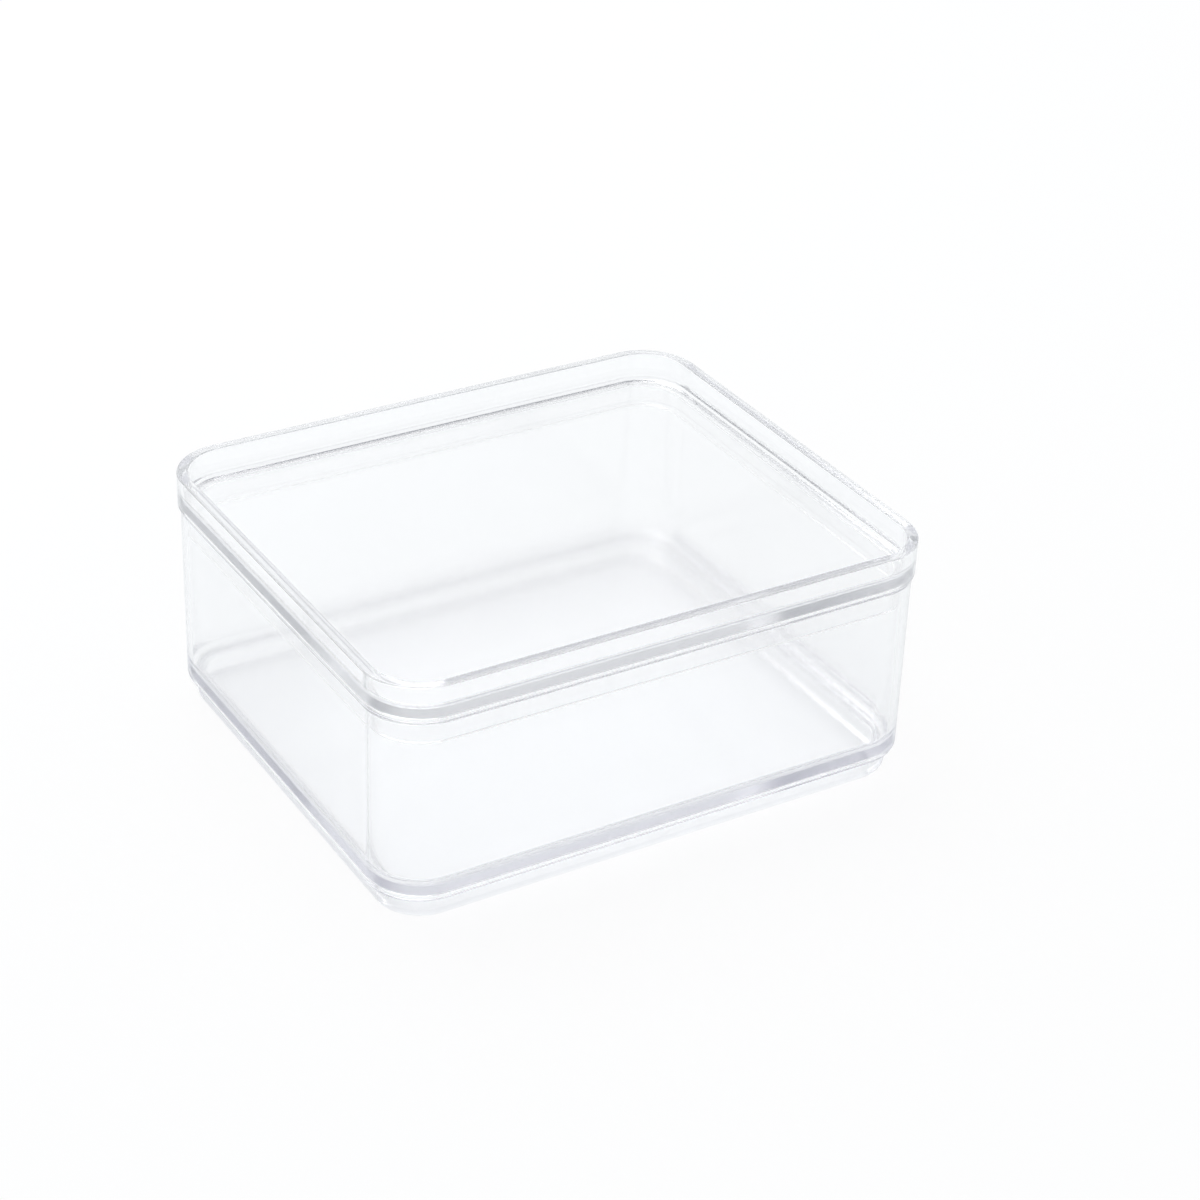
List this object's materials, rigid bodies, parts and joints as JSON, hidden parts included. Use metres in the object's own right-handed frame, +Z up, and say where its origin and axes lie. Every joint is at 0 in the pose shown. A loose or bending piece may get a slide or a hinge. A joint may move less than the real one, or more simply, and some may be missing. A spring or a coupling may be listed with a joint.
{
  "type": "storage box with lid",
  "caption": "Clear rectangular storage box with rounded corners and an inset hollow foot, closed by a lift-off lid with a raised rim, a recessed plate and a plug lip, so that boxes stack.",
  "frame": {"origin": "level with the underside of the foot, in plan the middle of the box", "axes": "+X along the long side, +Y along the short side, +Z up, the way the lid lifts"},
  "size_m": [0.105, 0.09, 0.046],
  "materials": {
    "box_plastic": "clear colourless acrylic, gloss moulded inside and out",
    "lid_plastic": "clear colourless acrylic, gloss moulded inside and out"
  },
  "bodies": {
    "box": {"box_body": "box_plastic"},
    "lid": {"lid": "lid_plastic"}
  },
  "joints": [
    {"name": "lid_lift", "type": "slide", "parent": "box", "child": "lid", "axis": [0, 0, 1], "range_m": [0, 0.04]}
  ]
}
